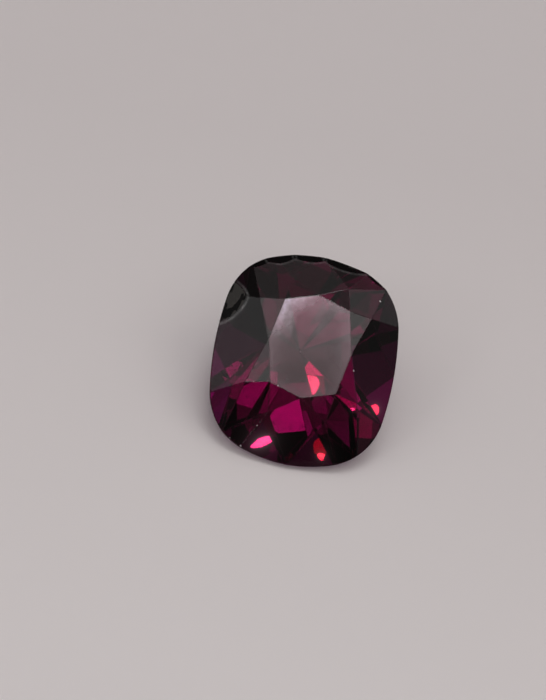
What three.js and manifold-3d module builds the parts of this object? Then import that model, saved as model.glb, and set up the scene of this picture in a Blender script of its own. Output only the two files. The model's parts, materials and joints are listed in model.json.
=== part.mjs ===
// Faceted spinel gemstone: an old-style cushion brilliant that lies loose on one of its pavilion facets.
// Millimetres, +Z up. The origin is on the surface the stone lies on, under the middle of its box.
import * as THREE from 'three';
import { mergeVertices } from 'three/addons/utils/BufferGeometryUtils.js';
import Module from 'manifold-3d';

// Girdle outline, seen square to the table: two long sides, two ends and four corners, each one arc
const WIDTH = 7.0;
const LENGTH = 8.14;
const SIDE_RADIUS = 12.1;
const END_RADIUS = 5.3;
const CORNER_RADIUS = 2.35;

// Heights along the cutting axis, above and below the girdle
const GIRDLE_THICKNESS = 0.36;
const CROWN_HEIGHT = 1.19;
const PAVILION_DEPTH = 3.69;

// Table: an octagon with a point on each axis and one at each corner
const TABLE_HALF_WIDTH = 1.61;
const TABLE_HALF_LENGTH = 2.0;
const TABLE_CORNER = new THREE.Vector2(1.27, 1.61);

// The cutter kept weight, so the table and the culet both sit off centre, towards the far end
const TABLE_SHIFT = new THREE.Vector2(0, 0.37);
const CULET_SHIFT = new THREE.Vector2(-0.07, 0.56);

// How far below the table the star facets end, and how far below the girdle the lower girdle facets end
const STAR_DROP = 0.355;
const LOWER_GIRDLE_DROP = 1.69;

// The way the corner mains face, from the width, and the number of steps in each girdle facet's border
const CORNER_FACING = THREE.MathUtils.degToRad(47.5);
const GIRDLE_STEPS = 10;

// Shallow shell-like chips on the upper girdle edge: the way the outline faces there, the chip's width and
// depth, and how steeply its hollow faces up, with angles in degrees. Five run together at the far end.
const CHIPS = [
  { facing: 171, width: 2.6, depth: 0.15, lean: 48 },
  { facing: 123, width: 2.0, depth: 0.11, lean: 36 },
  { facing: 108, width: 2.4, depth: 0.15, lean: 35 },
  { facing: 96, width: 2.4, depth: 0.15, lean: 35 },
  { facing: 81, width: 2.8, depth: 0.16, lean: 35 },
  { facing: 60, width: 1.6, depth: 0.08, lean: 36 },
];
const CHIP_SEGMENTS_ACROSS = 14;

const GIRDLE_TOP = GIRDLE_THICKNESS / 2;
const GIRDLE_FOOT = -GIRDLE_THICKNESS / 2;
const TABLE_LEVEL = GIRDLE_TOP + CROWN_HEIGHT;
const CULET = new THREE.Vector3(CULET_SHIFT.x, CULET_SHIFT.y, GIRDLE_FOOT - PAVILION_DEPTH);
const MERGE_DISTANCE = 1e-5;
const DOWN = new THREE.Vector3(0, 0, -1);

// The eight mains in order round the stone, by the side, corner or end that each one faces
const MAINS = [[1, 0], [1, 1], [0, 1], [-1, 1], [-1, 0], [-1, -1], [0, -1], [1, -1]];
const RESTING_MAIN = 6;

// The corner arc's centre lies where it touches the side arc and the end arc from inside
function cornerCentre() {
  const side = new THREE.Vector2(WIDTH / 2 - SIDE_RADIUS, 0);
  const end = new THREE.Vector2(0, LENGTH / 2 - END_RADIUS);
  const toSide = SIDE_RADIUS - CORNER_RADIUS;
  const toEnd = END_RADIUS - CORNER_RADIUS;
  const apart = end.clone().sub(side);
  const gap = apart.length();
  const along = (toSide ** 2 - toEnd ** 2 + gap ** 2) / (2 * gap);
  const across = Math.sqrt(toSide ** 2 - along ** 2);
  const forward = apart.divideScalar(gap);
  const sideways = new THREE.Vector2(-forward.y, forward.x);
  return side.addScaledVector(forward, along).addScaledVector(sideways, across);
}

const CORNER = cornerCentre();
const SIDE_ENDS = Math.atan2(CORNER.y, CORNER.x - WIDTH / 2 + SIDE_RADIUS);
const END_STARTS = Math.atan2(CORNER.y - LENGTH / 2 + END_RADIUS, CORNER.x);

// The point of the outline that faces the given way
function outlinePoint(facing) {
  const x = Math.abs(Math.cos(facing));
  const y = Math.abs(Math.sin(facing));
  const angle = Math.atan2(y, x);
  let centre = CORNER;
  let radius = CORNER_RADIUS;
  if (angle < SIDE_ENDS) {
    centre = new THREE.Vector2(WIDTH / 2 - SIDE_RADIUS, 0);
    radius = SIDE_RADIUS;
  } else if (angle > END_STARTS) {
    centre = new THREE.Vector2(0, LENGTH / 2 - END_RADIUS);
    radius = END_RADIUS;
  }
  return new THREE.Vector2(
    Math.sign(Math.cos(facing)) * (centre.x + radius * x),
    Math.sign(Math.sin(facing)) * (centre.y + radius * y),
  );
}

// Angles of the first half turn, repeated in the second
function roundTheStone(half) {
  return [...half, ...half.map((angle) => angle + Math.PI)];
}

// The girdle facets part where the outline's arcs join
const MAIN_FACINGS = roundTheStone([0, CORNER_FACING, Math.PI / 2, Math.PI - CORNER_FACING]);
const PART_FACINGS = roundTheStone([SIDE_ENDS, END_STARTS, Math.PI - END_STARTS, Math.PI - SIDE_ENDS]);

function tablePoint([x, y]) {
  const onCorner = x !== 0 && y !== 0;
  const reach = onCorner ? TABLE_CORNER : new THREE.Vector2(TABLE_HALF_WIDTH, TABLE_HALF_LENGTH);
  return new THREE.Vector3(x * reach.x + TABLE_SHIFT.x, y * reach.y + TABLE_SHIFT.y, TABLE_LEVEL);
}

function planeThrough(a, b, c) {
  return new THREE.Plane().setFromCoplanarPoints(a, b, c);
}

// The point where the line shared by two planes crosses a level
function meetAtLevel(first, second, level) {
  const a = first.normal;
  const b = second.normal;
  const p = -first.constant - a.z * level;
  const q = -second.constant - b.z * level;
  const det = a.x * b.y - a.y * b.x;
  return new THREE.Vector3((p * b.y - q * a.y) / det, (q * a.x - p * b.x) / det, level);
}

// The height of a plane above a point of the outline
function liftToPlane(point, plane) {
  const n = plane.normal;
  const z = -(plane.constant + n.x * point.x + n.y * point.y) / n.z;
  return new THREE.Vector3(point.x, point.y, z);
}

// One half of the stone, crown or pavilion: its mains, the points where they meet, and its girdle edge
function cutHalf(girdleLevel, innerPoints, meetLevel) {
  const feet = MAIN_FACINGS.map((facing) => liftTo(outlinePoint(facing), girdleLevel));
  const parts = PART_FACINGS.map((facing) => liftTo(outlinePoint(facing), girdleLevel));
  const mains = feet.map((foot, index) => {
    const facing = MAIN_FACINGS[index];
    const alongGirdle = new THREE.Vector3(-Math.sin(facing), Math.cos(facing), 0);
    return planeThrough(foot, foot.clone().add(alongGirdle), innerPoints[index]);
  });
  const meets = mains.map((main, index) => meetAtLevel(main, mains[next(index)], meetLevel));
  const edge = [];
  const girdleFacets = [];
  for (let index = 0; index < MAINS.length; index += 1) {
    const spans = [
      { from: MAIN_FACINGS[index], to: PART_FACINGS[index], start: feet[index], end: parts[index] },
      { from: PART_FACINGS[index], to: facingAfter(index), start: parts[index], end: feet[next(index)] },
    ];
    for (const span of spans) {
      const plane = planeThrough(span.start, span.end, meets[index]);
      const curve = girdleCurve(span, plane);
      girdleFacets.push([meets[index], ...curve]);
      edge.push(...curve.slice(0, -1));
    }
  }
  const kites = feet.map((foot, index) => [innerPoints[index], meets[previous(index)], foot, meets[index]]);
  return { kites, girdleFacets, meets, edge, mains };
}

// The curved lower border of a girdle facet, where its plane crosses the girdle wall
function girdleCurve(span, plane) {
  const curve = [span.start];
  for (let step = 1; step < GIRDLE_STEPS; step += 1) {
    const facing = THREE.MathUtils.lerp(span.from, span.to, step / GIRDLE_STEPS);
    curve.push(liftToPlane(outlinePoint(facing), plane));
  }
  curve.push(span.end);
  return curve;
}

function liftTo(point, level) {
  return new THREE.Vector3(point.x, point.y, level);
}

function next(index) {
  return (index + 1) % MAINS.length;
}

function previous(index) {
  return (index + MAINS.length - 1) % MAINS.length;
}

function facingAfter(index) {
  return index + 1 < MAINS.length ? MAIN_FACINGS[index + 1] : 2 * Math.PI;
}

// Every facet as a flat polygon, its points anticlockwise seen from outside
function stoneFacets() {
  const tablePoints = MAINS.map(tablePoint);
  const culets = MAINS.map(() => CULET);
  const crown = cutHalf(GIRDLE_TOP, tablePoints, TABLE_LEVEL - STAR_DROP);
  const pavilion = cutHalf(GIRDLE_FOOT, culets, GIRDLE_FOOT - LOWER_GIRDLE_DROP);
  const stars = tablePoints.map((point, index) => [point, crown.meets[index], tablePoints[next(index)]]);
  const wall = crown.edge.map((top, index) => {
    const after = (index + 1) % crown.edge.length;
    return [top, pavilion.edge[index], pavilion.edge[after], crown.edge[after]];
  });
  const below = [...pavilion.kites, ...pavilion.girdleFacets].map((facet) => facet.toReversed());
  const facets = [tablePoints, ...stars, ...crown.kites, ...crown.girdleFacets, ...wall, ...below];
  return { facets, resting: pavilion.mains[RESTING_MAIN] };
}

// A closed geometry of the facets, each one fanned from its first point
function facetGeometry(facets) {
  const corners = facets.flatMap((facet) =>
    facet.slice(2).flatMap((corner, index) => [facet[0], facet[index + 1], corner]),
  );
  const geometry = new THREE.BufferGeometry().setFromPoints(corners);
  return mergeVertices(geometry, MERGE_DISTANCE);
}

const wasm = await Module();
wasm.setup();

function toSolid(geometry) {
  const bare = geometry.clone();
  bare.deleteAttribute('normal');
  bare.deleteAttribute('uv');
  const merged = mergeVertices(bare, MERGE_DISTANCE);
  return new wasm.Manifold(
    new wasm.Mesh({
      numProp: 3,
      vertProperties: new Float32Array(merged.attributes.position.array),
      triVerts: new Uint32Array(merged.index.array),
    }),
  );
}

function toGeometry(solid) {
  const mesh = solid.getMesh();
  const geometry = new THREE.BufferGeometry();
  geometry.setAttribute('position', new THREE.BufferAttribute(mesh.vertProperties, 3));
  geometry.setIndex(new THREE.BufferAttribute(mesh.triVerts, 1));
  geometry.computeVertexNormals();
  return geometry;
}

// The ball that a chip's hollow is part of: it dips into the upper girdle edge by the chip's depth
function chipBall({ facing, width, depth, lean }) {
  const azimuth = THREE.MathUtils.degToRad(facing);
  const rise = THREE.MathUtils.degToRad(lean);
  const radius = (width ** 2 / 4 + depth ** 2) / (2 * depth);
  const around = Math.round((2 * Math.PI * radius * CHIP_SEGMENTS_ACROSS) / width);
  const outward = new THREE.Vector3(
    Math.cos(azimuth) * Math.cos(rise),
    Math.sin(azimuth) * Math.cos(rise),
    Math.sin(rise),
  );
  const centre = liftTo(outlinePoint(azimuth), GIRDLE_TOP).addScaledVector(outward, radius - depth);
  const ball = new THREE.SphereGeometry(radius, around, Math.round(around / 2)).rotateX(Math.PI / 2);
  return ball.translate(centre.x, centre.y, centre.z);
}

function cutStone(facets) {
  let solid = toSolid(facetGeometry(facets));
  for (const chip of CHIPS) {
    solid = solid.subtract(toSolid(chipBall(chip)));
  }
  return toGeometry(solid);
}

const { facets, resting } = stoneFacets();
const spinel = new THREE.Mesh(
  cutStone(facets),
  new THREE.MeshStandardMaterial({
    color: 0x6d0b3c,
    roughness: 0.05,
    metalness: 0,
    transparent: true,
    opacity: 0.8,
  }),
);
spinel.name = 'spinel';

// The stone lies on the pavilion main at the near end, so its table leans up and towards -Y
const facetNormal = resting.normal.clone();
if (facetNormal.z > 0) {
  facetNormal.negate();
}
spinel.quaternion.setFromUnitVectors(facetNormal, DOWN);
const box = new THREE.Box3().setFromObject(spinel, true);
const middle = box.getCenter(new THREE.Vector3());
spinel.position.set(-middle.x, -middle.y, -box.min.z);

const part = new THREE.Group();
part.add(spinel);

export default part;
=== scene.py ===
"""Looks of a loose spinel gemstone: a cushion-cut stone with worn edges, lying on a pale card."""

import json
import logging
import math
from dataclasses import dataclass
from enum import Enum
from typing import Any

import bmesh
import bpy
from mathutils import Matrix, Vector


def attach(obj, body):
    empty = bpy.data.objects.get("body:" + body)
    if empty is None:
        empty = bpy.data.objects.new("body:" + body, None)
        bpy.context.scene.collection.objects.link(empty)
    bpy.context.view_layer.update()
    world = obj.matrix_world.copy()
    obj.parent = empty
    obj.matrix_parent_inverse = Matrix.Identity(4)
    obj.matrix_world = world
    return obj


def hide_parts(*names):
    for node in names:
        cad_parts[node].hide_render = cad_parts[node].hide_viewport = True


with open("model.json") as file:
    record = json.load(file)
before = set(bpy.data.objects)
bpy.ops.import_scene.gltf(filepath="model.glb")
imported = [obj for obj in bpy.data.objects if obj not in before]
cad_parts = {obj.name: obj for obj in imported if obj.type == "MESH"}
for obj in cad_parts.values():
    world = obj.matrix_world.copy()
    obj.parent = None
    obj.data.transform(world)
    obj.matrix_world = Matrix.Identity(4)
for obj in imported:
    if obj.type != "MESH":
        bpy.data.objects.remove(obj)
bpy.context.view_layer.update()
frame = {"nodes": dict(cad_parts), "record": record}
LOG = logging.getLogger("spinel")

MM = 0.001
PHOTO_HEIGHT = 700
STONE_NODE = "spinel"
WHITE = "#FFFFFF"
WARM = "#FFDCC8"

Tree = bpy.types.NodeTree
Socket = bpy.types.NodeSocket


class Mark(Enum):
    """Values that the stone's mesh carries for its finish, each in its own attribute."""

    FROST = "frost"
    HAZE = "haze"
    FILM = "film"


class Zone(Enum):
    """The parts of a cut stone, told apart by the way their faces point."""

    TABLE = "table"
    CROWN = "crown"
    GIRDLE = "girdle"
    CHIP = "chip"
    PAVILION = "pavilion"


def linear(hex_colour: str) -> tuple[float, float, float, float]:
    """Turns an sRGB hex colour to linear light.

    Args:
        hex_colour: Six hex digits after a hash mark.

    Returns:
        Red, green and blue in linear light, and an alpha of 1.
    """
    channels = [int(hex_colour[i : i + 2], 16) / 255 for i in (1, 3, 5)]
    light = [c / 12.92 if c <= 0.04045 else ((c + 0.055) / 1.055) ** 2.4 for c in channels]
    return light[0], light[1], light[2], 1.0


def add_node(
    tree: Tree,
    kind: str,
    inputs: dict[str | int, Any] | None = None,
    **settings: Any,
) -> bpy.types.Node:
    """Adds a node to a tree.

    Args:
        tree: The tree to add to.
        kind: The node's type.
        inputs: What each input gets: a value, or the output socket that it is linked to.
        **settings: The node's own properties.

    Returns:
        The new node.
    """
    node = tree.nodes.new(kind)
    for name, value in settings.items():
        setattr(node, name, value)
    for name, value in (inputs or {}).items():
        socket = node.inputs[name]
        if isinstance(value, Socket):
            tree.links.new(value, socket)
        else:
            socket.default_value = value
    return node


def direction(azimuth: float, elevation: float) -> Vector:
    """Gives the direction from the stone to a point of the studio.

    Args:
        azimuth: Degrees round from the near side, -Y, towards +X.
        elevation: Degrees above the card.

    Returns:
        A vector of length 1.
    """
    turn, rise = math.radians(azimuth), math.radians(elevation)
    level = math.cos(rise)
    return Vector((math.sin(turn) * level, -math.cos(turn) * level, math.sin(rise)))


@dataclass(frozen=True)
class CuttingAxes:
    """The stone's own axes as it lies: across its width, along its length, square to its table."""

    across: Vector
    along: Vector
    upright: Vector
    table: Vector

    @classmethod
    def from_record(cls, record: dict) -> "CuttingAxes":
        """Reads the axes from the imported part's table mount.

        Args:
            record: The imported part's record.

        Returns:
            The axes, with the table's middle.
        """
        mount = next(m for m in record["mounts"] if m["name"] == "table_facet")
        upright = Vector(mount["axis"]).normalized()
        across = Vector((1, 0, 0))
        return cls(across, upright.cross(across), upright, Vector(mount["pos_m"]))

    def point(self, across: float, along: float, height: float) -> Vector:
        """Gives a point by its distances, in metres, from the table's middle."""
        return self.table + across * self.across + along * self.along + height * self.upright


@dataclass(frozen=True)
class ChipRim:
    """The pale bruised line where a shell-like chip on the girdle breaks into the crown.

    The chip's hollow is part of a ball, and the line follows it just outside. The girdle's point
    at the chip's middle is given from the table's middle, and angles are in degrees. The line may
    fade towards the stone's far end.
    """

    across_mm: float
    along_mm: float
    facing: float
    lean: float = 35
    width_mm: float = 2.4
    depth_mm: float = 0.15
    strength: float = 0.09
    fade: float = 0.0
    fade_from_mm: float = 0.15
    fade_until_mm: float = 0.6
    line_mm: float = 0.05
    crown_height_mm: float = 1.19

    def shade(self, tree: Tree, place: Socket, axes: CuttingAxes) -> Socket:
        """Adds the nodes that draw the line.

        Args:
            tree: The crystal's node tree.
            place: The shaded point, in the object's own coordinates.
            axes: The stone's axes.

        Returns:
            The line's strength at the point.
        """
        turn, rise = math.radians(self.facing), math.radians(self.lean)
        radius = (self.width_mm**2 / 4 + self.depth_mm**2) / (2 * self.depth_mm)
        half_line = self.line_mm / 2
        aside = math.cos(turn) * axes.across + math.sin(turn) * axes.along
        outward = math.cos(rise) * aside + math.sin(rise) * axes.upright
        edge = axes.point(self.across_mm * MM, self.along_mm * MM, -self.crown_height_mm * MM)
        level = edge.dot(axes.along)
        centre = edge + (radius - self.depth_mm) * MM * outward
        reach = add_node(tree, "ShaderNodeVectorMath", {0: place, 1: centre}, operation="DISTANCE")
        off = add_node(
            tree,
            "ShaderNodeMath",
            {0: reach.outputs["Value"], 1: (radius + half_line) * MM},
            operation="SUBTRACT",
        )
        away = add_node(tree, "ShaderNodeMath", {0: off.outputs["Value"]}, operation="ABSOLUTE")
        line = add_node(
            tree,
            "ShaderNodeMapRange",
            {
                "Value": away.outputs["Value"],
                "From Max": half_line * MM,
                "To Min": self.strength,
                "To Max": 0.0,
            },
        )
        along = add_node(
            tree,
            "ShaderNodeVectorMath",
            {0: place, 1: axes.along},
            operation="DOT_PRODUCT",
        )
        kept = add_node(
            tree,
            "ShaderNodeMapRange",
            {
                "Value": along.outputs["Value"],
                "From Min": level + self.fade_from_mm * MM,
                "From Max": level + self.fade_until_mm * MM,
                "To Min": 1.0,
                "To Max": 1.0 - self.fade,
            },
        )
        faded = add_node(
            tree,
            "ShaderNodeMath",
            {0: line.outputs["Result"], 1: kept.outputs["Result"]},
            operation="MULTIPLY",
        )
        return faded.outputs["Value"]


CHIP_RIMS = (
    ChipRim(-3.351, 1.523, facing=171, lean=48, width_mm=2.6, strength=0.22, fade=0.8),
    ChipRim(-1.638, 3.441, facing=108),
    ChipRim(-0.554, 3.671, facing=96),
    ChipRim(0.829, 3.635, facing=81, width_mm=2.8, depth_mm=0.16),
)


@dataclass(frozen=True)
class PolishedSpinel:
    """Natural spinel crystal, cut and polished: glassy, deep purplish red through its depth.

    A pair of levels says where a noise pattern is at its least and at its most, and a pair of
    shares says how much of the clear crystal the finish hides there.
    """

    ior: float = 1.718
    body_colour: str = "#DA00CA"
    absorption_per_mm: float = 1.1
    frosting: float = 0.45
    wave_mm: float = 0.8
    wave_depth_mm: float = 0.00006
    wave_detail: float = 1.0
    patch_detail: float = 6.0
    patch_levels: tuple[float, float] = (0.3, 0.7)
    wear_colour: str = "#EDDFF8"
    wear_patch_mm: float = 0.16
    wear_shares: tuple[float, float] = (0.62, 1.0)
    break_mm: float = 0.3
    break_detail: float = 3.0
    break_levels: tuple[float, float] = (0.4, 0.65)
    break_least: float = 0.25
    # Painted sheen and grease on the table: its pale pink colour, how much it hides and how far it
    # reaches
    film_and_painted_sheen_colour: str = "#F6D2E0"
    film_patch_mm: float = 0.5
    film_and_sheen_shares: tuple[float, float] = (0.129, 0.258)
    film_and_sheen_reach_mm: tuple[float, float] = (-1.5, 2.0)
    film_curve: float = 1.25

    def wear(self, tree: Tree, place: Socket, haze: Socket, axes: CuttingAxes) -> Socket:
        """Adds the nodes for worn borders, nicks and the lines round chips.

        Args:
            tree: The crystal's node tree.
            place: The shaded point, in the object's own coordinates.
            haze: How worn the mesh says that the point is.
            axes: The stone's axes.

        Returns:
            How much of the clear crystal the wear hides.
        """
        # A polished facet that has been handled shows wear in patches along its border
        patches = add_node(
            tree,
            "ShaderNodeTexNoise",
            {
                "Vector": place,
                "Scale": 1 / (self.wear_patch_mm * MM),
                "Detail": self.patch_detail,
            },
        )
        share = add_node(
            tree,
            "ShaderNodeMapRange",
            {
                "Value": patches.outputs["Fac"],
                "From Min": self.patch_levels[0],
                "From Max": self.patch_levels[1],
                "To Min": self.wear_shares[0],
                "To Max": self.wear_shares[1],
            },
        )
        # The pale line round a chip comes and goes as the break runs deeper or shallower
        breaks = add_node(
            tree,
            "ShaderNodeTexNoise",
            {
                "Vector": place,
                "Scale": 1 / (self.break_mm * MM),
                "Detail": self.break_detail,
            },
        )
        broken = add_node(
            tree,
            "ShaderNodeMapRange",
            {
                "Value": breaks.outputs["Fac"],
                "From Min": self.break_levels[0],
                "From Max": self.break_levels[1],
                "To Min": self.break_least,
            },
        )
        bruised = haze
        for rim in CHIP_RIMS:
            line = add_node(
                tree,
                "ShaderNodeMath",
                {0: rim.shade(tree, place, axes), 1: broken.outputs["Result"]},
                operation="MULTIPLY",
            )
            bruised = add_node(
                tree,
                "ShaderNodeMath",
                {0: bruised, 1: line.outputs["Value"]},
                operation="MAXIMUM",
            ).outputs["Value"]
        worn = add_node(
            tree,
            "ShaderNodeMath",
            {0: share.outputs["Result"], 1: bruised},
            operation="MULTIPLY",
        )
        return worn.outputs["Value"]

    def film(self, tree: Tree, place: Socket, axes: CuttingAxes) -> Socket:
        """Adds the nodes for the greasy film on the table, with its painted sheen.

        Args:
            tree: The crystal's node tree.
            place: The shaded point, in the object's own coordinates.
            axes: The stone's axes.

        Returns:
            How much of the clear crystal the film hides.
        """
        # Painted sheen and skin grease on the table: a pinkish veil, thickest towards its far end
        # The sheen stands in for light that the table reflects
        along = add_node(
            tree,
            "ShaderNodeVectorMath",
            {0: place, 1: axes.along},
            operation="DOT_PRODUCT",
        )
        middle = axes.table.dot(axes.along)
        thickness = add_node(
            tree,
            "ShaderNodeMapRange",
            {
                "Value": along.outputs["Value"],
                "From Min": middle + self.film_and_sheen_reach_mm[0] * MM,
                "From Max": middle + self.film_and_sheen_reach_mm[1] * MM,
            },
        )
        curved = add_node(
            tree,
            "ShaderNodeMath",
            {0: thickness.outputs["Result"], 1: self.film_curve},
            operation="POWER",
        )
        patches = add_node(
            tree,
            "ShaderNodeTexNoise",
            {
                "Vector": place,
                "Scale": 1 / (self.film_patch_mm * MM),
                "Detail": self.patch_detail,
            },
        )
        sheen_and_smears = add_node(
            tree,
            "ShaderNodeMapRange",
            {
                "Value": patches.outputs["Fac"],
                "From Min": self.patch_levels[0],
                "From Max": self.patch_levels[1],
                "To Min": self.film_and_sheen_shares[0],
                "To Max": self.film_and_sheen_shares[1],
            },
        )
        film = add_node(
            tree,
            "ShaderNodeMath",
            {0: curved.outputs["Value"], 1: sheen_and_smears.outputs["Result"]},
            operation="MULTIPLY",
        )
        return film.outputs["Value"]

    def tint(self, tree: Tree, worn: Socket, table: Socket) -> Socket:
        """Adds the nodes for the colour of the film, with its painted sheen, and the wear.

        Args:
            tree: The crystal's node tree.
            worn: How much of the clear crystal the wear hides.
            table: Whether the point is on the table.

        Returns:
            The surface's colour, white off the table.
        """
        # Painted sheen: the film's pale pink stands in for light that the table reflects
        sheen_and_wear = add_node(
            tree,
            "ShaderNodeMix",
            {"Factor": worn, "A": linear(self.film_and_painted_sheen_colour), "B": linear(self.wear_colour)},
            data_type="RGBA",
        )
        tint = add_node(
            tree,
            "ShaderNodeMix",
            {"Factor": table, "A": linear(WHITE), "B": sheen_and_wear.outputs["Result"]},
            data_type="RGBA",
        )
        return tint.outputs["Result"]

    def material(self, axes: CuttingAxes) -> bpy.types.Material:
        """Makes the crystal's material.

        Args:
            axes: The stone's axes; the film and its painted sheen on the table thicken along its
                length.

        Returns:
            A clear, absorbing material with frosted edges, worn borders and a greasy film with a
            painted sheen.
        """
        # Polished crystal has flat mirror-like facets, and its red deepens the further light goes
        material = bpy.data.materials.new("spinel_crystal_cut_and_polished")
        material.use_nodes = True
        tree = material.node_tree
        tree.nodes.clear()
        place = add_node(tree, "ShaderNodeTexCoord").outputs["Object"]
        marks = {
            mark: add_node(tree, "ShaderNodeAttribute", attribute_name=mark.value).outputs["Fac"]
            for mark in Mark
        }
        worn = self.wear(tree, place, marks[Mark.HAZE], axes)
        hidden = add_node(
            tree,
            "ShaderNodeMath",
            {0: self.film(tree, place, axes), 1: marks[Mark.FILM], 2: worn},
            operation="MULTIPLY_ADD",
        )
        clear = add_node(
            tree,
            "ShaderNodeMapRange",
            {"Value": hidden.outputs["Value"], "To Min": 1.0, "To Max": 0.0},
        )
        rough = add_node(
            tree,
            "ShaderNodeMapRange",
            {"Value": marks[Mark.FROST], "To Max": self.frosting},
        )
        # Polishing leaves each facet very slightly wavy, so reflections have soft outlines
        waves = add_node(
            tree,
            "ShaderNodeTexNoise",
            {"Vector": place, "Scale": 1 / (self.wave_mm * MM), "Detail": self.wave_detail},
        )
        facet = add_node(
            tree,
            "ShaderNodeBump",
            {"Height": waves.outputs["Fac"], "Distance": self.wave_depth_mm * MM},
        )
        body = add_node(
            tree,
            "ShaderNodeBsdfPrincipled",
            {
                "Base Color": self.tint(tree, worn, marks[Mark.FILM]),
                "Normal": facet.outputs["Normal"],
                "IOR": self.ior,
                "Transmission Weight": clear.outputs["Result"],
                "Roughness": rough.outputs["Result"],
            },
        )
        depth = add_node(
            tree,
            "ShaderNodeVolumeAbsorption",
            {"Color": linear(self.body_colour), "Density": self.absorption_per_mm / MM},
        )
        add_node(
            tree,
            "ShaderNodeOutputMaterial",
            {"Surface": body.outputs["BSDF"], "Volume": depth.outputs["Volume"]},
        )
        return material


@dataclass(frozen=True)
class MattCard:
    """Pale grey card with a matt uncoated face: even, with a faint tooth of paper fibre.

    The stone sees the card in painted shade, dimmed as if a dark hood stood in front and at its
    sides. The painted shade opens behind the stone, and the card's colour is painted a little
    darker towards the far side. Distances are from the middle of the stone towards +Y.
    """

    colour: str = "#F4EEEF"
    far_painted_shade_colour: str = "#E8E1E2"
    painted_falloff_from_mm: float = -14.0
    painted_falloff_until_mm: float = 16.0
    roughness: float = 0.9
    specular: float = 0.2
    fibre_mm: float = 0.35
    fibre_detail: float = 4.0
    tooth_mm: float = 0.004
    tooth_strength: float = 0.4
    # Painted shade: the dark colour that the stone sees the card in
    shade: str = "#55504F"
    painted_shade_opens: float = 0.6
    lit_from_mm: float = 4.0
    lit_until_mm: float = 12.0
    dark_from_mm: float = 24.0
    lit_share: float = 0.7

    def paper(self, tree: Tree, away: Socket) -> Socket:
        """Adds the nodes for the card's colour, with painted shade a little darker towards the far
        side.

        Args:
            tree: The card's node tree.
            away: How far towards the far side the point is.

        Returns:
            The colour at the point.
        """
        # Painted shade: the card darkens a little towards the far side, as if the light fell off
        # there
        distance = add_node(
            tree,
            "ShaderNodeMapRange",
            {
                "Value": away,
                "From Min": self.painted_falloff_from_mm * MM,
                "From Max": self.painted_falloff_until_mm * MM,
            },
        )
        paper = add_node(
            tree,
            "ShaderNodeMix",
            {
                "Factor": distance.outputs["Result"],
                "A": linear(self.colour),
                "B": linear(self.far_painted_shade_colour),
            },
            data_type="RGBA",
        )
        return paper.outputs["Result"]

    def lit(self, tree: Tree, across: Socket, away: Socket) -> Socket:
        """Adds the nodes for the part of the card that the painted shade leaves lit.

        Args:
            tree: The card's node tree.
            across: How far to the right the point is.
            away: How far towards the far side the point is.

        Returns:
            How much of its own colour the card shows to the stone.
        """
        aside = add_node(tree, "ShaderNodeMath", {0: across}, operation="ABSOLUTE")
        behind = add_node(
            tree,
            "ShaderNodeMath",
            {0: aside.outputs["Value"], 1: -self.painted_shade_opens, 2: away},
            operation="MULTIPLY_ADD",
        )
        near = add_node(
            tree,
            "ShaderNodeMapRange",
            {
                "Value": behind.outputs["Value"],
                "From Max": self.lit_from_mm * MM,
                "To Max": self.lit_share,
            },
            interpolation_type="SMOOTHSTEP",
        )
        far = add_node(
            tree,
            "ShaderNodeMapRange",
            {
                "Value": away,
                "From Min": self.lit_until_mm * MM,
                "From Max": self.dark_from_mm * MM,
                "To Min": 1.0,
                "To Max": 0.0,
            },
            interpolation_type="SMOOTHSTEP",
        )
        lit = add_node(
            tree,
            "ShaderNodeMath",
            {0: near.outputs["Result"], 1: far.outputs["Result"]},
            operation="MULTIPLY",
        )
        return lit.outputs["Value"]

    def material(self) -> bpy.types.Material:
        """Makes the card's material.

        Returns:
            A matt material with a fine fibre tooth.
        """
        # Uncoated card scatters light evenly, and its fibres only just break up the tone
        material = bpy.data.materials.new("card_matt_uncoated")
        material.use_nodes = True
        tree = material.node_tree
        tree.nodes.clear()
        place = add_node(tree, "ShaderNodeTexCoord").outputs["Object"]
        parts = add_node(tree, "ShaderNodeSeparateXYZ", {"Vector": place}).outputs
        # Real fibres are finer: these are as coarse as the picture needs to show a tooth at all
        fibre = add_node(
            tree,
            "ShaderNodeTexNoise",
            {"Vector": place, "Scale": 1 / (self.fibre_mm * MM), "Detail": self.fibre_detail},
        )
        tooth = add_node(
            tree,
            "ShaderNodeBump",
            {
                "Height": fibre.outputs["Fac"],
                "Strength": self.tooth_strength,
                "Distance": self.tooth_mm * MM,
            },
        )
        # Painted shade: rays other than the camera's see the card dark, save behind the stone
        ray = add_node(tree, "ShaderNodeLightPath")
        shown = add_node(
            tree,
            "ShaderNodeMath",
            {0: ray.outputs["Is Camera Ray"], 1: self.lit(tree, parts["X"], parts["Y"])},
            operation="MAXIMUM",
        )
        paper_or_painted_shade = add_node(
            tree,
            "ShaderNodeMix",
            {
                "Factor": shown.outputs["Value"],
                "A": linear(self.shade),
                "B": self.paper(tree, parts["Y"]),
            },
            data_type="RGBA",
        )
        body = add_node(
            tree,
            "ShaderNodeBsdfPrincipled",
            {
                "Base Color": paper_or_painted_shade.outputs["Result"],
                "Normal": tooth.outputs["Normal"],
                "Roughness": self.roughness,
                "Specular IOR Level": self.specular,
            },
        )
        add_node(tree, "ShaderNodeOutputMaterial", {"Surface": body.outputs["BSDF"]})
        return material


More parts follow.
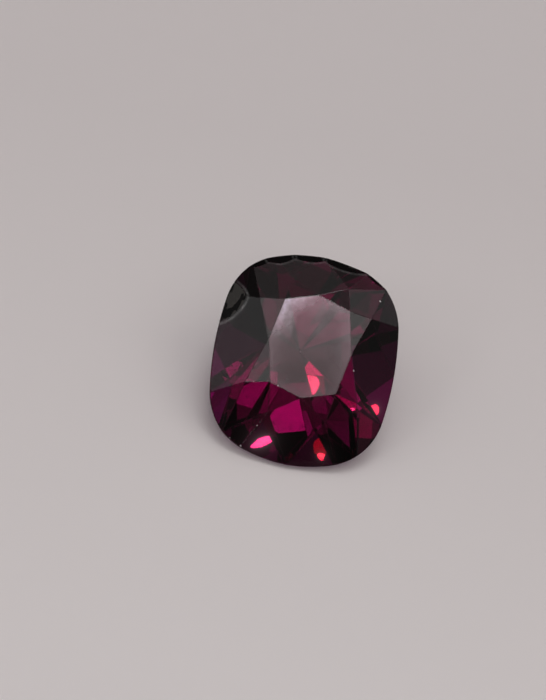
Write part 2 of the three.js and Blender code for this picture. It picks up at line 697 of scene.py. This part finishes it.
@dataclass(frozen=True)
class EdgeNicks:
    """Tiny bruises that handling leaves along the crown's edges, cut out of the stone."""

    spacing_mm: float = 0.3
    smallest_mm: float = 0.008
    largest_mm: float = 0.05
    chance: float = 0.04
    sharp_from: float = math.radians(5)
    whiteness: float = 0.9
    fineness: int = 2
    seed: int = 11

    def crown_edges(self, tree: Tree, given: bpy.types.NodeOutputs) -> Socket:
        """Adds the nodes that pick the sharp edges above the girdle.

        Args:
            tree: The nicks' node tree.
            given: The tree's inputs.

        Returns:
            Whether an edge is one of them.
        """
        angle = add_node(tree, "GeometryNodeInputMeshEdgeAngle")
        sharp = add_node(
            tree,
            "FunctionNodeCompare",
            {0: angle.outputs["Unsigned Angle"], 1: given["Sharp From"]},
            operation="GREATER_THAN",
        )
        place = add_node(tree, "GeometryNodeInputPosition")
        height = add_node(
            tree,
            "ShaderNodeVectorMath",
            {0: place.outputs["Position"], 1: given["Upright"]},
            operation="DOT_PRODUCT",
        )
        above = add_node(
            tree,
            "FunctionNodeCompare",
            {0: height.outputs["Value"], 1: given["Lowest"]},
            operation="GREATER_THAN",
        )
        both = add_node(
            tree,
            "FunctionNodeBooleanMath",
            {0: sharp.outputs["Result"], 1: above.outputs["Result"]},
            operation="AND",
        )
        return both.outputs["Boolean"]

    def hollows(self, tree: Tree, given: bpy.types.NodeOutputs) -> Socket:
        """Adds the nodes that scatter small balls along the edges, marked as bruises.

        Args:
            tree: The nicks' node tree.
            given: The tree's inputs.

        Returns:
            The balls' mesh.
        """
        lines = add_node(
            tree,
            "GeometryNodeMeshToCurve",
            {"Mesh": given["Geometry"], "Selection": self.crown_edges(tree, given)},
        )
        places = add_node(
            tree,
            "GeometryNodeCurveToPoints",
            {"Curve": lines.outputs["Curve"], "Length": given["Spacing"]},
            mode="LENGTH",
        )
        spots = add_node(
            tree,
            "GeometryNodeMergeByDistance",
            {"Geometry": places.outputs["Points"], "Distance": given["Spacing"]},
        )
        picked = add_node(
            tree,
            "FunctionNodeRandomValue",
            {"Probability": given["Chance"], "Seed": given["Seed"]},
            data_type="BOOLEAN",
        )
        size = add_node(
            tree,
            "FunctionNodeRandomValue",
            {0: given["Smallest"], 1: given["Largest"], "Seed": given["Seed"]},
            data_type="FLOAT_VECTOR",
        )
        turn = add_node(
            tree,
            "FunctionNodeRandomValue",
            {1: (math.tau, math.tau, math.tau), "Seed": given["Seed"]},
            data_type="FLOAT_VECTOR",
        )
        ball = add_node(
            tree,
            "GeometryNodeMeshIcoSphere",
            {"Radius": 1.0, "Subdivisions": self.fineness},
        )
        balls = add_node(
            tree,
            "GeometryNodeInstanceOnPoints",
            {
                "Points": spots.outputs["Geometry"],
                "Selection": picked.outputs[3],
                "Instance": ball.outputs["Mesh"],
                "Rotation": turn.outputs[0],
                "Scale": size.outputs[0],
            },
        )
        marked = add_node(
            tree,
            "GeometryNodeRealizeInstances",
            {"Geometry": balls.outputs["Instances"]},
        ).outputs["Geometry"]
        for mark, value in ((Mark.FROST, 1.0), (Mark.HAZE, given["Whiteness"])):
            marked = add_node(
                tree,
                "GeometryNodeStoreNamedAttribute",
                {"Geometry": marked, "Name": mark.value, "Value": value},
                data_type="FLOAT",
                domain="CORNER",
            ).outputs["Geometry"]
        return marked

    def tree(self) -> bpy.types.GeometryNodeTree:
        """Builds the node tree that scatters hollows along the edges and cuts them out.

        Returns:
            The tree, with named inputs for its sizes.
        """
        tree = bpy.data.node_groups.new("edge_nicks", "GeometryNodeTree")
        kinds = {
            "Geometry": "NodeSocketGeometry",
            "Spacing": "NodeSocketFloat",
            "Smallest": "NodeSocketVector",
            "Largest": "NodeSocketVector",
            "Chance": "NodeSocketFloat",
            "Sharp From": "NodeSocketFloat",
            "Whiteness": "NodeSocketFloat",
            "Upright": "NodeSocketVector",
            "Lowest": "NodeSocketFloat",
            "Seed": "NodeSocketInt",
            "Material": "NodeSocketMaterial",
        }
        for name, kind in kinds.items():
            tree.interface.new_socket(name=name, in_out="INPUT", socket_type=kind)
        tree.interface.new_socket(
            name="Geometry", in_out="OUTPUT", socket_type="NodeSocketGeometry"
        )
        given = add_node(tree, "NodeGroupInput").outputs
        cut = add_node(
            tree,
            "GeometryNodeMeshBoolean",
            {"Mesh 1": given["Geometry"], "Mesh 2": self.hollows(tree, given)},
            operation="DIFFERENCE",
            solver="EXACT",
        )
        whole = add_node(tree, "GeometryNodeRealizeInstances", {"Geometry": cut.outputs["Mesh"]})
        dressed = add_node(
            tree,
            "GeometryNodeSetMaterial",
            {"Geometry": whole.outputs["Geometry"], "Material": given["Material"]},
        )
        add_node(tree, "NodeGroupOutput", {"Geometry": dressed.outputs["Geometry"]})
        return tree

    def cut(
        self,
        stone: bpy.types.Object,
        upright: Vector,
        lowest: float,
        crystal: bpy.types.Material,
    ) -> None:
        """Cuts the nicks out of the stone and leaves it a plain mesh.

        Args:
            stone: The stone's object, its mesh in millimetres.
            upright: The direction square to the table.
            lowest: How far along that direction the lowest nicks are, in millimetres.
            crystal: The stone's material.
        """
        tree = self.tree()
        values = {
            "Spacing": self.spacing_mm,
            "Smallest": (self.smallest_mm,) * 3,
            "Largest": (self.largest_mm,) * 3,
            "Chance": self.chance,
            "Sharp From": self.sharp_from,
            "Whiteness": self.whiteness,
            "Upright": tuple(upright),
            "Lowest": lowest,
            "Seed": self.seed,
            "Material": crystal,
        }
        modifier = stone.modifiers.new("edge_nicks", "NODES")
        modifier.node_group = tree
        for socket in tree.interface.items_tree:
            if socket.in_out == "INPUT" and socket.name in values:
                modifier[socket.identifier] = values[socket.name]
        depsgraph = bpy.context.evaluated_depsgraph_get()
        nicked = bpy.data.meshes.new_from_object(stone.evaluated_get(depsgraph))
        stone.modifiers.remove(modifier)
        stone.data = nicked


@dataclass
class Stone:
    """The cut stone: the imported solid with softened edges, a worn table and small nicks.

    The wear is greatest where the table's border faces one way and falls off quickly round it.
    """

    axes: CuttingAxes
    finish: PolishedSpinel
    nicks: EdgeNicks
    edge_rounding_mm: float = 0.016
    merge_mm: float = 0.001
    flat_within: float = math.radians(0.4)
    sharp_from: float = math.radians(4)
    smallest_facet_mm2: float = 0.09
    girdle_lean: float = 0.05
    girdle_depth_mm: float = 1.3
    girdle_frost: float = 0.6
    edge_frost: float = 0.5
    wear_rings_mm: tuple[float, ...] = (0.06, 0.26, 0.5)
    wear_falloff: tuple[float, ...] = (0.8, 1.0, 0.5, 0.0)
    worn_towards: float = math.radians(133)
    wear_focus: int = 24
    least_wear: float = 0.1

    def build(self) -> bpy.types.Object:
        """Makes the stone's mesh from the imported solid, in millimetres, then brings it to metres.

        Returns:
            The stone's object.
        """
        shape = bmesh.new()
        shape.from_mesh(frame["nodes"][STONE_NODE].data)
        shape.transform(Matrix.Scale(1 / MM, 4))
        bmesh.ops.remove_doubles(shape, verts=shape.verts, dist=self.merge_mm)
        bmesh.ops.dissolve_limit(
            shape, angle_limit=self.flat_within, verts=shape.verts, edges=shape.edges
        )
        self.smooth_chips(shape)
        self.round_edges(shape)
        self.mark_wear(shape)
        mesh = bpy.data.meshes.new("spinel_stone")
        shape.to_mesh(mesh)
        shape.free()
        mesh.attributes.remove(mesh.attributes["custom_normal"])
        stone = bpy.data.objects.new("spinel_stone", mesh)
        bpy.context.scene.collection.objects.link(stone)
        lowest = self.axes.upright.dot(self.axes.table) / MM - self.girdle_depth_mm
        self.nicks.cut(stone, self.axes.upright, lowest, self.finish.material(self.axes))
        stone.data.transform(Matrix.Scale(MM, 4))
        return stone

    def zones(self, shape: bmesh.types.BMesh) -> dict[bmesh.types.BMFace, Zone]:
        """Tells which part of the cut each face belongs to.

        Args:
            shape: The stone's mesh.

        Returns:
            The zone of every face.
        """
        flat = math.cos(self.flat_within)
        facets = [
            face.normal.copy()
            for face in shape.faces
            if face.calc_area() > self.smallest_facet_mm2
        ]
        zones = {}
        for face in shape.faces:
            lean = face.normal.dot(self.axes.upright)
            if lean > flat:
                zones[face] = Zone.TABLE
            elif abs(lean) < self.girdle_lean:
                zones[face] = Zone.GIRDLE
            elif all(face.normal.dot(normal) < flat for normal in facets):
                zones[face] = Zone.CHIP
            else:
                zones[face] = Zone.CROWN if lean > 0 else Zone.PAVILION
        return zones

    def smooth_chips(self, shape: bmesh.types.BMesh) -> None:
        """Shades the chips' hollows smooth, and every other face flat.

        Args:
            shape: The stone's mesh.
        """
        for face, zone in self.zones(shape).items():
            face.smooth = zone is Zone.CHIP

    def round_edges(self, shape: bmesh.types.BMesh) -> None:
        """Softens the edges between facets a little, as handling does, and frosts the girdle.

        Args:
            shape: The stone's mesh.
        """
        frost = shape.loops.layers.float.new(Mark.FROST.value)
        zones = self.zones(shape)
        for face, zone in zones.items():
            for loop in face.loops:
                loop[frost] = self.girdle_frost if zone is Zone.GIRDLE else 0.0
        edges = [
            edge
            for edge in shape.edges
            if edge.calc_face_angle(0.0) > self.sharp_from
            and Zone.CHIP not in {zones[face] for face in edge.link_faces}
        ]
        rounded = bmesh.ops.bevel(
            shape,
            geom=edges,
            offset=self.edge_rounding_mm,
            offset_type="OFFSET",
            segments=1,
            profile=0.5,
            affect="EDGES",
            clamp_overlap=False,
        )
        for face in rounded["faces"]:
            for loop in face.loops:
                loop[frost] = self.edge_frost

    def wear_at(self, corner: Vector) -> float:
        """Gives how worn the table's border is at one of its corners.

        Args:
            corner: The corner, in millimetres.

        Returns:
            From the least wear to 1, at the most worn corner.
        """
        reach = corner - self.axes.table / MM
        bearing = math.atan2(reach.dot(self.axes.along), reach.dot(self.axes.across))
        wear = math.cos((bearing - self.worn_towards) / 2) ** self.wear_focus
        return max(self.least_wear, wear)

    def mark_wear(self, shape: bmesh.types.BMesh) -> None:
        """Marks the worn border of the table in rings, faintest at the innermost.

        Args:
            shape: The stone's mesh.
        """
        haze = shape.loops.layers.float.new(Mark.HAZE.value)
        film = shape.loops.layers.float.new(Mark.FILM.value)
        table = max(
            (face for face, zone in self.zones(shape).items() if zone is Zone.TABLE),
            key=lambda face: face.calc_area(),
        )
        for loop in table.loops:
            loop[film] = 1.0
        rings = zip(self.wear_rings_mm, self.wear_falloff, self.wear_falloff[1:])
        for width, outer, inner in rings:
            ring = bmesh.ops.inset_individual(shape, faces=[table], thickness=width)
            within = set(table.verts)
            for strip in ring["faces"]:
                for loop in strip.loops:
                    share = inner if loop.vert in within else outer
                    loop[haze] = self.wear_at(loop.vert.co) * share
                    loop[film] = 1.0

    def dress(self, stone: bpy.types.Object) -> None:
        """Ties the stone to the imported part.

        Args:
            stone: The stone's object.
        """
        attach(stone, "root")
        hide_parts(STONE_NODE)


@dataclass(frozen=True)
class Lamp:
    """A lamp, by where it stands, how large it looks from the stone and how bright it is.

    One with a height is oval, and one without is round. Angles are in degrees.
    """

    name: str
    azimuth: float
    elevation: float
    width_deg: float
    radiance: float
    colour: str = WHITE
    height_deg: float | None = None
    turn: float = 0.0
    distance: float = 0.4

    def across(self, angle: float) -> float:
        """Gives the size, in metres, that looks as large as an angle in degrees."""
        return 2 * self.distance * math.tan(math.radians(angle) / 2)

    def build(self, target: Vector) -> bpy.types.Object:
        """Sets the lamp up, facing the stone.

        Args:
            target: The point that it faces.

        Returns:
            The lamp's object.
        """
        lamp = bpy.data.lights.new(self.name, "AREA")
        lamp.size = self.across(self.width_deg)
        if self.height_deg is None:
            lamp.shape = "DISK"
            area = math.pi * lamp.size**2 / 4
        else:
            lamp.shape = "ELLIPSE"
            lamp.size_y = self.across(self.height_deg)
            area = math.pi * lamp.size * lamp.size_y / 4
        lamp.energy = self.radiance * math.pi * area
        lamp.color = linear(self.colour)[:3]
        holder = bpy.data.objects.new(self.name, lamp)
        bpy.context.scene.collection.objects.link(holder)
        way = direction(self.azimuth, self.elevation)
        turned = Matrix.Rotation(math.radians(self.turn), 3, "Z")
        facing = (-way).to_track_quat("-Z", "Y").to_matrix() @ turned
        holder.location = target + self.distance * way
        holder.rotation_euler = facing.to_euler()
        holder.visible_camera = False
        return holder


@dataclass(frozen=True)
class Camera:
    """The camera, by how the stone's table leans in the picture and where its outline lies."""

    axes: CuttingAxes
    lean_up: float = math.radians(8.5)
    lean_right: float = math.radians(4.8)
    roll: float = math.radians(10.18)
    pixels_per_mm: float = 26.1
    distance: float = 0.15
    outline_right_px: float = 31.3
    outline_down_px: float = 10.4
    girdle_below_table: float = 1.37 * MM
    table_off_centre: float = 0.37 * MM
    sensor: float = 36.0
    nearest: float = 1.0 * MM

    def build(self) -> bpy.types.Object:
        """Places the camera so that the outline's middle falls where the photograph has it.

        Returns:
            The camera's object.
        """
        axes = self.axes
        back = (
            -math.sin(self.lean_right) * math.cos(self.lean_up) * axes.across
            - math.sin(self.lean_up) * axes.along
            + math.cos(self.lean_right) * math.cos(self.lean_up) * axes.upright
        ).normalized()
        level_up = (axes.along - back * axes.along.dot(back)).normalized()
        level_right = level_up.cross(back)
        right = math.cos(self.roll) * level_right + math.sin(self.roll) * level_up
        up = math.cos(self.roll) * level_up - math.sin(self.roll) * level_right
        pixel = MM / self.pixels_per_mm
        outline = axes.point(0, -self.table_off_centre, -self.girdle_below_table)
        aim = outline - right * self.outline_right_px * pixel + up * self.outline_down_px * pixel
        lens = bpy.data.cameras.new("camera")
        lens.lens = self.sensor * self.distance / (PHOTO_HEIGHT * pixel)
        lens.sensor_width = self.sensor
        lens.clip_start = self.nearest
        camera = bpy.data.objects.new("camera", lens)
        bpy.context.scene.collection.objects.link(camera)
        camera.matrix_world = Matrix((right, up, back)).transposed().to_4x4()
        camera.location = aim + back * self.distance
        bpy.context.scene.camera = camera
        return camera


@dataclass(frozen=True)
class LensBloom:
    """The soft pale glow that a lens spreads round the brightest flashes."""

    threshold: float = 0.6
    strength: float = 0.5
    saturation: float = 0.35
    size: float = 0.15

    def build(self) -> None:
        """Adds the glow to the finished picture."""
        scene = bpy.context.scene
        scene.use_nodes = True
        tree = scene.node_tree
        tree.nodes.clear()
        taken = add_node(tree, "CompositorNodeRLayers")
        glow = add_node(
            tree,
            "CompositorNodeGlare",
            {
                "Image": taken.outputs["Image"],
                "Threshold": self.threshold,
                "Strength": self.strength,
                "Saturation": self.saturation,
                "Size": self.size,
            },
            glare_type="BLOOM",
            quality="HIGH",
        )
        add_node(tree, "CompositorNodeComposite", {"Image": glow.outputs["Image"]})


@dataclass
class Studio:
    """The card that the stone lies on, the soft sky over it and the lamps.

    The sky is brightest high up in front. The parts of a direction where it changes run from -1
    to 1. Heights and the dim gap in the sky are in degrees.
    """

    card: MattCard
    lamps: tuple[Lamp, ...]
    card_size: float = 3.0
    card_gap: float = 0.02 * MM
    backdrop: str = "#BBB5B4"
    sky_colour: str = "#FFFCFA"
    sky_front: float = 0.85
    sky_back: float = 0.2
    sky_low: float = 0.02
    sky_side: float = 0.08
    front_until: float = -0.12
    back_from: float = 0.2
    side_from: float = 0.6
    side_full: float = 0.95
    low_until: float = 32.0
    full_from: float = 40.0
    gap_azimuth: float = 13.0
    gap_elevation: float = 51.5
    gap_inner: float = 6.0
    gap_outer: float = 8.5
    gap_dims: float = 0.65
    bounces: int = 40
    bounces_in_stone: int = 32
    brightest_bounce: float = 12.0

    def build(self, target: Vector) -> None:
        """Lays the card and sets up the light.

        Args:
            target: The point that the lamps face.
        """
        self.lay_card()
        self.paint_sky()
        for lamp in self.lamps:
            lamp.build(target)
        scene = bpy.context.scene
        scene.view_settings.view_transform = "Standard"
        scene.cycles.max_bounces = self.bounces
        scene.cycles.glossy_bounces = self.bounces_in_stone
        scene.cycles.transmission_bounces = self.bounces_in_stone
        scene.cycles.sample_clamp_indirect = self.brightest_bounce
        scene.cycles.sampling_pattern = "TABULATED_SOBOL"

    def lay_card(self) -> None:
        """Makes the card, a hair below the stone."""
        sheet = bmesh.new()
        bmesh.ops.create_grid(sheet, x_segments=1, y_segments=1, size=self.card_size / 2)
        sheet.transform(Matrix.Translation((0, 0, -self.card_gap)))
        mesh = bpy.data.meshes.new("card")
        sheet.to_mesh(mesh)
        sheet.free()
        card = bpy.data.objects.new("card", mesh)
        bpy.context.scene.collection.objects.link(card)
        card.data.materials.append(self.card.material())

    def sky_brightness(self, tree: Tree, way: Socket) -> Socket:
        """Adds the nodes for the sky's brightness.

        Args:
            tree: The world's node tree.
            way: The direction to a point of the sky.

        Returns:
            How bright the sky is there.
        """
        parts = add_node(tree, "ShaderNodeSeparateXYZ", {"Vector": way})
        ahead = add_node(
            tree,
            "ShaderNodeMapRange",
            {
                "Value": parts.outputs["Y"],
                "From Min": self.back_from,
                "From Max": self.front_until,
                "To Min": self.sky_back,
                "To Max": self.sky_front,
            },
            interpolation_type="SMOOTHSTEP",
        )
        height = add_node(
            tree,
            "ShaderNodeMapRange",
            {
                "Value": parts.outputs["Z"],
                "From Min": math.sin(math.radians(self.low_until)),
                "From Max": math.sin(math.radians(self.full_from)),
            },
            interpolation_type="SMOOTHSTEP",
        )
        aside = add_node(tree, "ShaderNodeMath", {0: parts.outputs["X"]}, operation="ABSOLUTE")
        low = add_node(
            tree,
            "ShaderNodeMapRange",
            {
                "Value": aside.outputs["Value"],
                "From Min": self.side_from,
                "From Max": self.side_full,
                "To Min": self.sky_low,
                "To Max": self.sky_side,
            },
            interpolation_type="SMOOTHSTEP",
        )
        nearness = add_node(
            tree,
            "ShaderNodeVectorMath",
            {0: way, 1: direction(self.gap_azimuth, self.gap_elevation)},
            operation="DOT_PRODUCT",
        )
        open_sky = add_node(
            tree,
            "ShaderNodeMapRange",
            {
                "Value": nearness.outputs["Value"],
                "From Min": math.cos(math.radians(self.gap_outer)),
                "From Max": math.cos(math.radians(self.gap_inner)),
                "To Min": 1.0,
                "To Max": 1.0 - self.gap_dims,
            },
            interpolation_type="SMOOTHSTEP",
        )
        dome = add_node(
            tree,
            "ShaderNodeMath",
            {0: ahead.outputs["Result"], 1: open_sky.outputs["Result"]},
            operation="MULTIPLY",
        )
        bright = add_node(
            tree,
            "ShaderNodeMath",
            {0: dome.outputs["Value"], 1: height.outputs["Result"], 2: low.outputs["Result"]},
            operation="MULTIPLY_ADD",
        )
        return bright.outputs["Value"]

    def paint_sky(self) -> None:
        """Makes a soft sky that lights the stone, and a plain backdrop that the camera sees."""
        world = bpy.data.worlds.new("studio")
        bpy.context.scene.world = world
        world.use_nodes = True
        tree = world.node_tree
        tree.nodes.clear()
        way = add_node(tree, "ShaderNodeTexCoord").outputs["Generated"]
        sky = add_node(
            tree,
            "ShaderNodeBackground",
            {"Color": linear(self.sky_colour), "Strength": self.sky_brightness(tree, way)},
        )
        plain = add_node(tree, "ShaderNodeBackground", {"Color": linear(self.backdrop)})
        ray = add_node(tree, "ShaderNodeLightPath")
        shown = add_node(
            tree,
            "ShaderNodeMixShader",
            {
                0: ray.outputs["Is Camera Ray"],
                1: sky.outputs["Background"],
                2: plain.outputs["Background"],
            },
        )
        add_node(tree, "ShaderNodeOutputWorld", {"Surface": shown.outputs["Shader"]})


# Each lamp is named for the part of the stone that it lights up in the photograph's view, and has
# its azimuth and elevation after its name
LAMPS = (
    Lamp("overhead", 0, 89, width_deg=24, radiance=2.6),
    Lamp("left_side", -78, 30, width_deg=18, radiance=0.3),
    Lamp("right_back", 121, 33, width_deg=26, radiance=0.2),
    Lamp("left_low", 155, 60.3, width_deg=5, radiance=5.0),
    Lamp("left_low_middle", 139, 55.3, width_deg=6, radiance=3.2),
    Lamp("left_low_edge", 107, 2.5, width_deg=8, radiance=0.25),
    Lamp("left_low_right", -86.5, 76, width_deg=4, radiance=3.4),
    Lamp("left_rim", 136, 50, width_deg=9, radiance=0.3),
    Lamp("front_low", 2, 42, width_deg=8.4, radiance=2.0),
    Lamp("kite", 7, 41.6, width_deg=2.2, radiance=9.0),
    Lamp("kite_end", -68, 38, width_deg=3, radiance=2.6),
    Lamp("left_star", -7, 49.5, width_deg=4, radiance=5.8),
    Lamp("left_star_high", 9.2, 48, width_deg=1.4, radiance=2.4),
    Lamp("left_star_top", -14, 43.5, width_deg=3, radiance=4.2),
    Lamp("left_star_back", -131, 78.8, width_deg=3, radiance=5.0),
    Lamp("left_star_side", 24.5, 44, width_deg=2, radiance=2.2),
    Lamp("left_star_low", -8, 58, width_deg=2.6, radiance=3.6),
    Lamp("left_star_front", -12, 7, width_deg=4, radiance=1.6),
    Lamp("under_table", 13.3, 46.8, width_deg=2, radiance=2.0),
    Lamp("below_table", 17.2, 49.5, width_deg=2, radiance=1.9),
    Lamp("below_table_left", -43.5, 33.5, width_deg=12, radiance=3.0),
    Lamp("below_table_right", 12, 57.8, width_deg=1.6, radiance=2.4),
    Lamp("below_table_glow", 18.2, 53.9, width_deg=1.5, radiance=3, colour=WARM),
    Lamp("table_glow", -3, 56.7, width_deg=2.4, radiance=17, colour=WARM),
    Lamp("table_middle", 6, 25, width_deg=3, radiance=2.0),
    Lamp("table_middle_left", -10.5, 32, width_deg=4.4, radiance=2.0),
    Lamp("table_right", -15.5, 40.3, width_deg=3, radiance=1.3),
    Lamp("table_right_front", -5.5, 39.2, width_deg=2.6, radiance=1.5),
    Lamp("table_right_top", 22, 32, width_deg=3, radiance=2.4),
    Lamp("right_star", 40.5, 57.5, width_deg=4, radiance=2.2),
    Lamp("right_streak", 51.5, 67.2, width_deg=3, radiance=7.5, colour=WARM),
    Lamp("right_lower", 11.3, 44.8, width_deg=1.6, radiance=5.0),
    Lamp("right_lower_front", 8, 29, width_deg=5.2, radiance=2.2),
    Lamp("right_lower_step", 18, 35, width_deg=2.4, radiance=1.6),
    Lamp("right_lower_side", -91, 33, width_deg=4, radiance=1.7, colour=WARM),
    Lamp("right_low", 83.5, 60.6, width_deg=5.2, radiance=1.9, colour=WARM),
    Lamp("right_side", 64, 56, width_deg=3, radiance=2.5, colour=WARM),
    Lamp("right_edge", -99, 17, width_deg=18, radiance=0.3, colour="#FFF4EC"),
    Lamp("right_front", 34.5, 27.5, width_deg=7, radiance=1.2),
    Lamp("table_flash", 17.09, 53.32, width_deg=0.46, height_deg=0.33, turn=-36, radiance=36,
         colour="#FFC9B0"),
    Lamp("left_flash", 120.4, 65.29, width_deg=1.33, height_deg=0.33, turn=-45.6, radiance=30,
         colour="#FFC8B8"),
    Lamp("low_flash", -140.05, 73.14, width_deg=0.76, height_deg=0.2, turn=52.7, radiance=24,
         colour="#FF9560"),
    Lamp("low_glow", -141.6, 72.62, width_deg=1.7, height_deg=0.44, turn=53, radiance=4,
         colour="#FF6038"),
    Lamp("right_spark", 50.6, 66.97, width_deg=0.2, height_deg=0.13, turn=81, radiance=48,
         colour="#FFD9C8"),
    Lamp("right_flash", -99.45, 13.04, width_deg=0.25, height_deg=0.21, turn=-55, radiance=9,
         colour="#FFA066"),
)


def main() -> None:
    """Builds the stone, the studio and the camera in order."""
    logging.basicConfig(level=logging.INFO, format="%(name)s: %(message)s")
    axes = CuttingAxes.from_record(frame["record"])
    maker = Stone(axes, PolishedSpinel(), EdgeNicks())
    stone = maker.build()
    maker.dress(stone)
    LOG.info("%s has %d faces", stone.name, len(stone.data.polygons))
    Studio(MattCard(), LAMPS).build(axes.point(0, 0, 0))
    LOG.info("studio has %d lamps", len(LAMPS))
    camera = Camera(axes).build()
    LensBloom().build()
    LOG.info("%s stands at %s", camera.name, tuple(round(x, 4) for x in camera.location))


if __name__ == "__main__":
    main()
